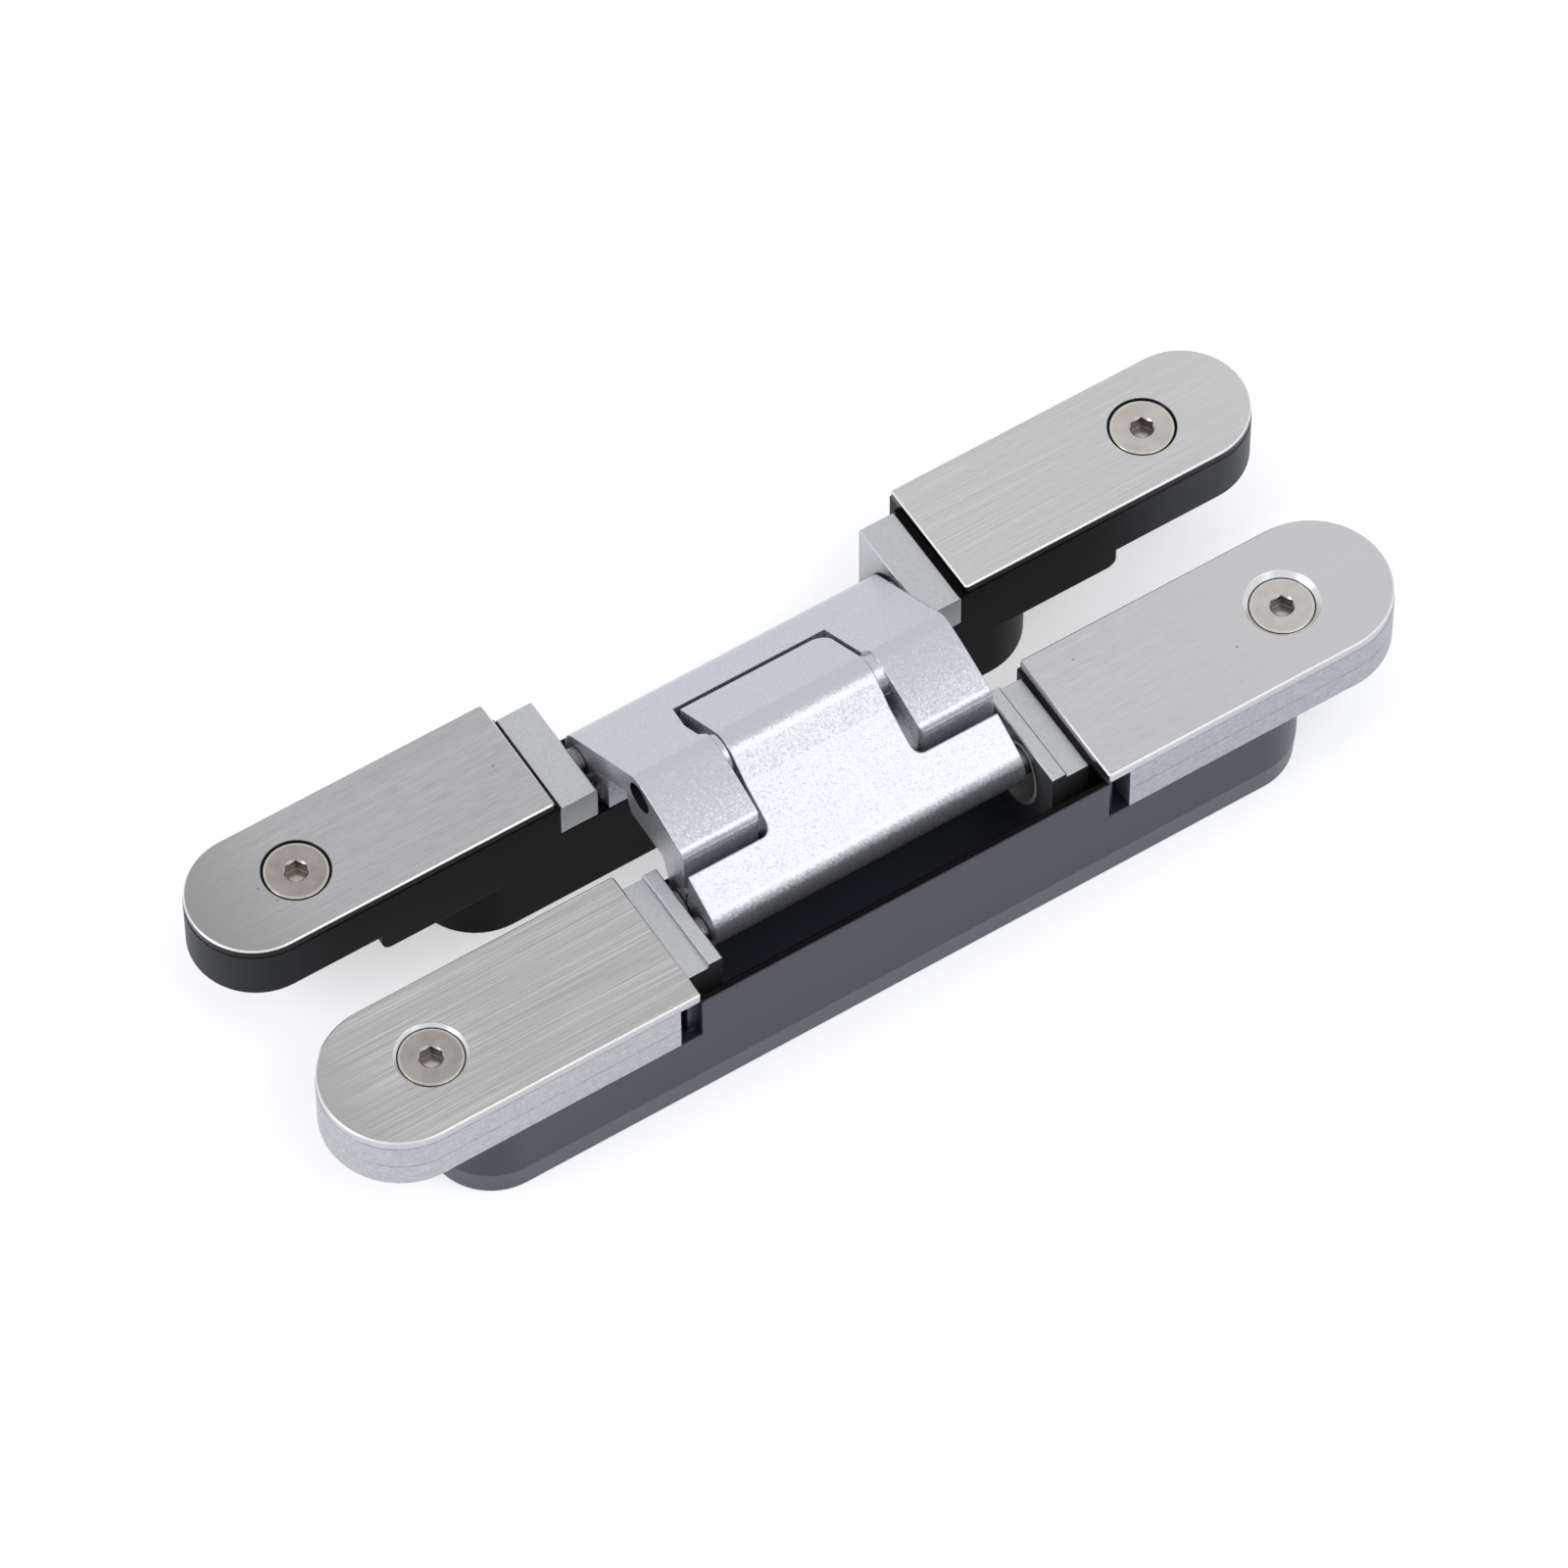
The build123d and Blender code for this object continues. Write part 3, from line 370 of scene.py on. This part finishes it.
def flakedSilver(name, look):
    material, tree, shader, place = newMaterial(name, look["shader"])
    grain = pattern(tree, place, look["grain"])
    colour = addNode(
        tree,
        "ShaderNodeValToRGB",
        {"stops": tuple(zip(look["toneStops"], look["tones"]))},
        {"Fac": grain},
    ).outputs["Color"]
    # the recess round the knee pin's end is painted dark as shade
    across = addNode(
        tree, "ShaderNodeVectorMath", {"operation": "MULTIPLY", 1: (0, 1, 1)}, {0: place}
    ).outputs[0]
    fromPin = addNode(
        tree, "ShaderNodeVectorMath", {"operation": "DISTANCE", 1: look["recess"]}, {0: across}
    ).outputs["Value"]
    side = addNode(tree, "ShaderNodeSeparateXYZ", {}, {0: place}).outputs[0]
    outward = addNode(tree, "ShaderNodeMath", {"operation": "ABSOLUTE"}, {0: side}).outputs[0]
    deep = addNode(
        tree, "ShaderNodeMath", {"operation": "GREATER_THAN", 1: look["recessDepth"]}, {0: outward}
    ).outputs[0]
    near = addNode(
        tree, "ShaderNodeMath", {"operation": "LESS_THAN", 1: look["recessRadius"]}, {0: fromPin}
    ).outputs[0]
    shadedRecess = addNode(tree, "ShaderNodeMath", {"operation": "MULTIPLY"}, {0: deep, 1: near}).outputs[0]
    colour = addNode(
        tree,
        "ShaderNodeMix",
        {"data_type": "RGBA", 7: fromHex(look["recessShadeColour"])},
        {0: shadedRecess, 6: colour},
    ).outputs[2]
    tree.links.new(colour, shader.inputs["Base Color"])
    smoothest, roughest = look["roughness"]
    spread = addNode(
        tree, "ShaderNodeMapRange", {"To Min": smoothest, "To Max": roughest}, {"Value": grain}
    )
    tree.links.new(spread.outputs[0], shader.inputs["Roughness"])
    # each flake is one cell with a lean of its own: normal + tilt x (random - half)
    cells = addNode(tree, "ShaderNodeMapping", {"Scale": (1 / look["flake"],) * 3}, {"Vector": place})
    flakes = addNode(tree, "ShaderNodeTexVoronoi", {"Scale": 1.0}, {"Vector": cells.outputs[0]})
    lean = addNode(
        tree,
        "ShaderNodeVectorMath",
        {"operation": "SUBTRACT", 1: (0.5, 0.5, 0.5)},
        {0: flakes.outputs["Color"]},
    )
    lean = addNode(
        tree,
        "ShaderNodeVectorMath",
        {"operation": "SCALE", "Scale": look["flakeTilt"]},
        {0: lean.outputs[0]},
    )
    rounded = addNode(tree, "ShaderNodeBevel", {"Radius": look["edgeRadius"], "samples": edgeSamples})
    leaning = addNode(
        tree, "ShaderNodeVectorMath", {"operation": "ADD"}, {0: rounded.outputs[0], 1: lean.outputs[0]}
    )
    normal = addNode(tree, "ShaderNodeVectorMath", {"operation": "NORMALIZE"}, {0: leaning.outputs[0]})
    tree.links.new(normal.outputs[0], shader.inputs["Normal"])
    return material


# bare zinc straight from the die: grey and half dull, mottled with flow marks along its length
zincLook = {
    "shader": {"Metallic": 0.9},
    "blotch": (0.0009, 1.8, 4.0, 0.6),  # flow marks, 0.9 mm wide
    "speck": (0.00032, 1, 2.0, 0.5),  # the die's skin, 0.3 mm
    "speckShare": 0.5,
    "toneStops": (0.34, 0.5, 0.66),
    "tones": ("#a6a7ab", "#b4b5b9", "#c5c6c9"),
    "roughness": (0.34, 0.5),
    "bump": (0.00004, 0.25),
    "edgeRadius": 0.0003,
}
rightZincLook = dict(zincLook, tones=("#9b9ea4", "#a8abb2", "#babdc2"))  # cooler and darker
# zinc, tumbled after casting: paler, smoother and more even
cheekLook = {
    "shader": {"Metallic": 0.9},
    "blotch": (0.0007, 1, 4.0, 0.6),
    "speck": (0.0003, 1, 2.0, 0.5),
    "speckShare": 0.35,
    "toneStops": (0.34, 0.5, 0.66),
    "tones": ("#b6b8bc", "#bdbfc3", "#c5c7ca"),
    "roughness": (0.32, 0.4),
    "bump": (0.00004, 0.25),
    "edgeRadius": 0.0003,
}


def castZinc(name, look):
    material, tree, shader, place = newMaterial(name, look["shader"])
    blotch = pattern(tree, place, look["blotch"])
    specks = pattern(tree, place, look["speck"])
    mottle = addNode(
        tree, "ShaderNodeMix", {"data_type": "RGBA", 0: look["speckShare"]}, {6: blotch, 7: specks}
    ).outputs[2]
    colour = addNode(
        tree,
        "ShaderNodeValToRGB",
        {"stops": tuple(zip(look["toneStops"], look["tones"]))},
        {"Fac": mottle},
    ).outputs["Color"]
    finishSurface(tree, shader, look, colour, blotch, specks)
    return material


# zinc with a baked coat, smooth from the spray: dark with a soft gloss
gunmetalLook = {
    "shader": {"Metallic": 0.0, "Specular IOR Level": 0.43},
    "cloud": (0.009, 1, 3.0, 0.5),  # faint unevenness of the coat, 9 mm
    "peel": (0.0006, 1, 2.0, 0.5),  # orange peel of the spray, 0.6 mm
    "toneStops": (0.3, 0.7),
    "tones": ("#232636", "#2a2d3c"),
    "band": (0.0056, 0.0003, "#4a4e5a"),  # paler below this height, a painted reflection: height, blur, tone
    "inside": {  # box round the arms' space, with the tops of the long walls, painted near black as shade
        "middle": (0.0, -0.022, 0.02),
        "reach": (0.0429, 0.0148, 0.0143),
        "tone": "#070606",
        "specular": 0.06,
    },
    "ends": (),
    "roughness": (0.32, 0.4),
    "bump": (0.00002, 0.15),
    "edgeRadius": 0.0005,
}
# the same coat in black: duller, and one tone above and below the line
blackLook = {
    "shader": {"Metallic": 0.0, "Specular IOR Level": 0.06},
    "cloud": (0.009, 1, 3.0, 0.5),
    "peel": (0.0006, 1, 2.0, 0.5),
    "toneStops": (0.3, 0.7),
    "tones": ("#0b0b0c", "#0f0f11"),
    "band": None,
    "inside": None,
    # painted reflection: the round ends are paler
    "ends": ((-0.088, -0.111, "#323439"), (0.07, 0.1, "#4a4c52")),
    "roughness": (0.34, 0.44),
    "bump": (0.00002, 0.15),
    "edgeRadius": 0.0005,
}


def bakedCoat(name, look):
    material, tree, shader, place = newMaterial(name, look["shader"])
    cloud = pattern(tree, place, look["cloud"])
    peel = pattern(tree, place, look["peel"])
    colour = addNode(
        tree,
        "ShaderNodeValToRGB",
        {"stops": tuple(zip(look["toneStops"], look["tones"]))},
        {"Fac": cloud},
    ).outputs["Color"]
    spot = addNode(tree, "ShaderNodeSeparateXYZ", {}, {0: place})
    if look["band"]:
        top, blur, paintedReflectionTone = look["band"]
        paintedReflection = addNode(
            tree,
            "ShaderNodeMapRange",
            {"From Min": top - blur, "From Max": top + blur, "To Min": 1.0, "To Max": 0.0},
            {"Value": spot.outputs[2]},
        ).outputs[0]
        colour = addNode(
            tree, "ShaderNodeMix", {"data_type": "RGBA", 7: fromHex(paintedReflectionTone)}, {0: paintedReflection, 6: colour}
        ).outputs[2]
    if look["inside"]:
        # between and on top of the long walls the coat is painted dull black as shade
        box = look["inside"]
        inside = None
        for axis, (middle, reach) in enumerate(zip(box["middle"], box["reach"])):
            within = addNode(
                tree,
                "ShaderNodeMath",
                {"operation": "COMPARE", 1: middle, 2: reach},
                {0: spot.outputs[axis]},
            ).outputs[0]
            if inside is not None:
                within = addNode(
                    tree, "ShaderNodeMath", {"operation": "MULTIPLY"}, {0: within, 1: inside}
                ).outputs[0]
            inside = within
        colour = addNode(
            tree,
            "ShaderNodeMix",
            {"data_type": "RGBA", 7: fromHex(box["tone"])},
            {0: inside, 6: colour},
        ).outputs[2]
        specular = addNode(
            tree,
            "ShaderNodeMapRange",
            {"To Min": look["shader"]["Specular IOR Level"], "To Max": box["specular"]},
            {"Value": inside},
        )
        tree.links.new(specular.outputs[0], shader.inputs["Specular IOR Level"])
    # painted reflection: the coat is paler towards the round ends
    for start, end, paintedEndTone in look["ends"]:
        paintedEndFade = addNode(
            tree,
            "ShaderNodeMapRange",
            {"From Min": start, "From Max": end, "interpolation_type": "SMOOTHSTEP"},
            {"Value": spot.outputs[0]},
        ).outputs[0]
        colour = addNode(
            tree, "ShaderNodeMix", {"data_type": "RGBA", 7: fromHex(paintedEndTone)}, {0: paintedEndFade, 6: colour}
        ).outputs[2]
    finishSurface(tree, shader, look, colour, cloud, peel)
    return material


# nickel plate on turned steel: warm and bright, with a lighter rim round the head as a painted
# highlight
nickelLook = {
    "shader": {"Metallic": 1.0},
    "cloud": (0.003, 1, 2.0, 0.5),  # faint unevenness of the plate, 3 mm
    "fine": (0.0003, 1, 3.0, 0.5),  # turning marks are finer still, and are drawn at 0.3 mm to show
    "toneStops": (0.35, 0.65),
    "socketRadius": 0.0024,
    "socketColour": "#b3aea8",
    "socketWallShade": "#59534c",
    "wallLean": 0.5,  # a face whose normal points up less than this is a wall of the socket
    "rimRadius": 0.0055,
    "rimBlur": 0.0001,
    "rimHighlightColour": "#d6d3ce",
    "rimShare": 0.45,
    "roughness": (0.2, 0.27),
    "bump": (0.00001, 0.1),
    "edgeRadius": 0.00015,
    "screws": {  # centre and two tones, darker on the left screws as painted shade and lighter on the right as painted light
        "front_cover_screw_left": ((-0.09, -0.022), "#98948e", "#a5a19b"),
        "rear_cover_screw_left": ((-0.09, 0.02415), "#95908a", "#a29d96"),
        "front_cover_screw_right": ((0.09, -0.022), "#bab6b1", "#c3c0bb"),
        "rear_cover_screw_right": ((0.09, 0.02415), "#b7b2ac", "#c0bcb6"),
    },
}


def nickelPlate(name, screw):
    centre, low, high = screw
    material, tree, shader, place = newMaterial(name, nickelLook["shader"])
    cloud = pattern(tree, place, nickelLook["cloud"])
    fine = pattern(tree, place, nickelLook["fine"])
    colour = addNode(
        tree,
        "ShaderNodeValToRGB",
        {"stops": tuple(zip(nickelLook["toneStops"], (low, high)))},
        {"Fac": cloud},
    ).outputs["Color"]
    flat = addNode(
        tree, "ShaderNodeVectorMath", {"operation": "MULTIPLY", 1: (1, 1, 0)}, {0: place}
    ).outputs[0]
    fromMiddle = addNode(
        tree, "ShaderNodeVectorMath", {"operation": "DISTANCE", 1: centre + (0.0,)}, {0: flat}
    ).outputs["Value"]
    # the socket's bottom keeps its plate, and its walls are painted dark as shade
    socket = addNode(
        tree,
        "ShaderNodeMath",
        {"operation": "LESS_THAN", 1: nickelLook["socketRadius"]},
        {0: fromMiddle},
    ).outputs[0]
    facing = addNode(
        tree,
        "ShaderNodeSeparateXYZ",
        {},
        {0: addNode(tree, "ShaderNodeNewGeometry").outputs["True Normal"]},
    ).outputs[2]
    shadedWall = addNode(
        tree, "ShaderNodeMath", {"operation": "LESS_THAN", 1: nickelLook["wallLean"]}, {0: facing}
    ).outputs[0]
    inside = addNode(
        tree,
        "ShaderNodeMix",
        {
            "data_type": "RGBA",
            6: fromHex(nickelLook["socketColour"]),
            7: fromHex(nickelLook["socketWallShade"]),
        },
        {0: shadedWall},
    ).outputs[2]
    colour = addNode(
        tree, "ShaderNodeMix", {"data_type": "RGBA"}, {0: socket, 6: colour, 7: inside}
    ).outputs[2]
    # painted highlight: a lighter rim round the head's edge
    rimHighlight = addNode(
        tree,
        "ShaderNodeMapRange",
        {
            "From Min": nickelLook["rimRadius"] - nickelLook["rimBlur"],
            "From Max": nickelLook["rimRadius"] + nickelLook["rimBlur"],
            "To Max": nickelLook["rimShare"],
        },
        {"Value": fromMiddle},
    ).outputs[0]
    colour = addNode(
        tree,
        "ShaderNodeMix",
        {"data_type": "RGBA", 7: fromHex(nickelLook["rimHighlightColour"])},
        {0: rimHighlight, 6: colour},
    ).outputs[2]
    finishSurface(tree, shader, nickelLook, colour, cloud, fine)
    return material


smallShared = {"toneStops": (0.3, 0.7), "bump": (0.00001, 0.2), "edgeRadius": 0.0002}
smallLooks = {
    # steel rod, ground round: mid grey with a soft shine; grinding marks drawn at 0.2 mm to show
    "pin_steel": {
        "name": "groundSteelRod",
        "shader": {"Metallic": 1.0},
        "tones": ("#69696b", "#88888a"),
        "grain": (0.0002, 1, 3.0, 0.5),
        "roughness": (0.2, 0.34),
        **smallShared,
    },
    # steel screws dipped in black oxide: near black and satin, mottled by 0.4 mm
    "dark_screw": {
        "name": "blackOxideSteel",
        "shader": {"Metallic": 0.8},
        "tones": ("#1b1b1d", "#2e2e31"),
        "grain": (0.0004, 1, 3.0, 0.5),
        "roughness": (0.35, 0.5),
        **smallShared,
    },
    # nylon, moulded: clean white and soft, with the mould's texture at 0.8 mm
    "white_nylon": {
        "name": "mouldedNylon",
        "shader": {"Metallic": 0.0},
        "tones": ("#eceded", "#f4f4f4"),
        "grain": (0.0008, 1, 3.0, 0.5),
        "roughness": (0.42, 0.55),
        **smallShared,
    },
}


def plainFinish(look):
    material, tree, shader, place = newMaterial(look["name"], look["shader"])
    grain = pattern(tree, place, look["grain"])
    colour = addNode(
        tree,
        "ShaderNodeValToRGB",
        {"stops": tuple(zip(look["toneStops"], look["tones"]))},
        {"Fac": grain},
    ).outputs["Color"]
    finishSurface(tree, shader, look, colour, grain, grain)
    return material


slotOf = {part["node"]: part["material_slot"] for part in frame["record"]["subparts"]}
bySlot = {
    "gunmetal_paint": bakedCoat("gunmetalBakedCoat", gunmetalLook),
    "black_paint": bakedCoat("blackBakedCoat", blackLook),
    "raw_zinc": castZinc("bareCastZinc", zincLook),
    "satin_zinc": castZinc("satinCastZinc", cheekLook),
    "sparkle_silver": flakedSilver("flakedSilverCoat", silverLook),
}
for slotName, look in smallLooks.items():
    bySlot[slotName] = plainFinish(look)

for seed, (name, node) in enumerate(sorted(nodes.items())):
    if name in coverLook["plates"]:
        plate = coverLook["plates"][name]
        finish = brushedStainless("brushedStainless" + str(seed), plate, float(seed))
    elif name in nickelLook["screws"]:
        finish = nickelPlate("nickelPlate" + str(seed), nickelLook["screws"][name])
    elif name == "front_end_block_right":
        finish = castZinc("bareCastZincRight", rightZincLook)
    else:
        finish = bySlot[slotOf[name]]
    node.data.materials.clear()
    node.data.materials.append(finish)
print("finishes set")

# studio: white floor, pale surroundings, a soft box high in front and one low at the left;
# the room darkens towards the floor in front of the object
studio = {
    "around": 0.5,
    "cardSides": (-0.55, -0.85),  # y of a direction where the darkening starts and where it is full
    "card": (0.52, -0.12, 0.12),  # z where it starts, z where it is full, and its tone
    "floorSize": 8.0,
    "floorHeight": -0.0002,
    "floorColour": "#f3f4f8",
    "floorLift": 0.48,
    "aimedAt": (0, 0, 0.02),
    "boxes": {
        "frontBox": {"at": (0.448, -0.695, 1.023), "size": (1.2, 0.77), "power": 3.9},
        "leftBox": {"at": (-1.05, 0.12, 0.78), "size": (0.5, 0.5), "power": 4.0},
    },
}
white = (1.0, 1.0, 1.0, 1.0)

world = bpy.data.worlds.new("studioAir")
bpy.context.scene.world = world
world.use_nodes = True
airTree = world.node_tree
airTree.nodes.clear()
rays = addNode(airTree, "ShaderNodeLightPath")
mirrored = addNode(
    airTree,
    "ShaderNodeMath",
    {"operation": "MAXIMUM"},
    {0: rays.outputs["Is Glossy Ray"], 1: rays.outputs["Is Transmission Ray"]},
)
direction = addNode(
    airTree,
    "ShaderNodeSeparateXYZ",
    {},
    {0: addNode(airTree, "ShaderNodeTexCoord").outputs["Generated"]},
)
sideStart, sideFull = studio["cardSides"]
inFront = addNode(
    airTree,
    "ShaderNodeMapRange",
    {"From Min": sideStart, "From Max": sideFull, "interpolation_type": "SMOOTHSTEP"},
    {"Value": direction.outputs[1]},
).outputs[0]
cardTop, cardFoot, cardTone = studio["card"]
low = addNode(
    airTree,
    "ShaderNodeMapRange",
    {"From Min": cardTop, "From Max": cardFoot, "interpolation_type": "SMOOTHSTEP"},
    {"Value": direction.outputs[2]},
).outputs[0]
card = addNode(airTree, "ShaderNodeMath", {"operation": "MULTIPLY"}, {0: inFront, 1: low}).outputs[0]
mirrorTone = addNode(
    airTree, "ShaderNodeMix", {"data_type": "RGBA", 6: white, 7: (cardTone,) * 3 + (1.0,)}, {0: card}
).outputs[2]
airColour = addNode(
    airTree,
    "ShaderNodeMix",
    {"data_type": "RGBA", 6: (studio["around"],) * 3 + (1.0,)},
    {0: mirrored.outputs[0], 7: mirrorTone},
).outputs[2]
airColour = addNode(
    airTree,
    "ShaderNodeMix",
    {"data_type": "RGBA", 7: white},
    {0: rays.outputs["Is Camera Ray"], 6: airColour},
).outputs[2]
air = addNode(airTree, "ShaderNodeBackground", {"Strength": 1.0}, {"Color": airColour})
addNode(airTree, "ShaderNodeOutputWorld", {}, {"Surface": air.outputs[0]})

half, under = studio["floorSize"] / 2, studio["floorHeight"]
floorMesh = bpy.data.meshes.new("floor")
floorMesh.from_pydata(
    [(-half, -half, under), (half, -half, under), (half, half, under), (-half, half, under)],
    [],
    [(0, 1, 2, 3)],
)
floor = bpy.data.objects.new("floor", floorMesh)
bpy.context.scene.collection.objects.link(floor)
# paper, matt: it lies white to the camera and in mirrors, and keeps the hinge's shadow
floorPaper = bpy.data.materials.new("whitePaper")
floorPaper.use_nodes = True
paperTree = floorPaper.node_tree
paperTree.nodes.clear()
paper = addNode(paperTree, "ShaderNodeBsdfDiffuse", {"Color": fromHex(studio["floorColour"])})
paperRays = addNode(paperTree, "ShaderNodeLightPath")
paperSeen = addNode(
    paperTree,
    "ShaderNodeMath",
    {"operation": "MAXIMUM"},
    {0: paperRays.outputs["Is Camera Ray"], 1: paperRays.outputs["Is Glossy Ray"]},
)
lift = addNode(
    paperTree,
    "ShaderNodeMath",
    {"operation": "MULTIPLY", 1: studio["floorLift"]},
    {0: paperSeen.outputs[0]},
)
glow = addNode(paperTree, "ShaderNodeEmission", {}, {"Strength": lift.outputs[0]})
paperSum = addNode(paperTree, "ShaderNodeAddShader", {}, {0: paper.outputs[0], 1: glow.outputs[0]})
addNode(paperTree, "ShaderNodeOutputMaterial", {}, {"Surface": paperSum.outputs[0]})
floorMesh.materials.append(floorPaper)


def placedBy(right, up, back, place):
    # the matrix whose columns are these
    matrix = Matrix.Identity(4)
    for row in range(3):
        for column, axis in enumerate((right, up, back, place)):
            matrix[row][column] = axis[row]
    return matrix


def aimed(place, target):
    # turns -Z from place towards target
    back = np.array(place, float) - np.array(target, float)
    back /= np.linalg.norm(back)
    side = np.cross((0.0, 0.0, 1.0), back)
    side /= np.linalg.norm(side)
    return placedBy(side, np.cross(back, side), back, place)


for name, box in studio["boxes"].items():
    lamp = bpy.data.lights.new(name, "AREA")
    lamp.shape = "RECTANGLE"
    lamp.size, lamp.size_y = box["size"]
    lamp.energy = box["power"]
    lampObject = bpy.data.objects.new(name, lamp)
    bpy.context.scene.collection.objects.link(lampObject)
    lampObject.matrix_world = aimed(box["at"], studio["aimedAt"])
print("studio set")

# camera, solved from the picture's straight edges
view = {
    "at": (-0.626397, -0.9992936, 1.7943633),
    "right": (0.845129, -0.534548, -0.003928),
    "up": (0.447261, 0.703064, 0.552864),
    "along": (0.29277, 0.468998, -0.833262),
    "lens": 271.763,
    "sensor": 36.0,
    "clip": (0.05, 50.0),
}
camera = bpy.data.cameras.new("camera")
camera.sensor_width = view["sensor"]
camera.sensor_fit = "HORIZONTAL"
camera.lens = view["lens"]
camera.clip_start, camera.clip_end = view["clip"]
cameraObject = bpy.data.objects.new("camera", camera)
bpy.context.scene.collection.objects.link(cameraObject)
cameraObject.matrix_world = placedBy(
    view["right"], view["up"], [-v for v in view["along"]], view["at"]
)
bpy.context.scene.camera = cameraObject
bpy.context.scene.view_settings.view_transform = "Standard"
print("camera set")
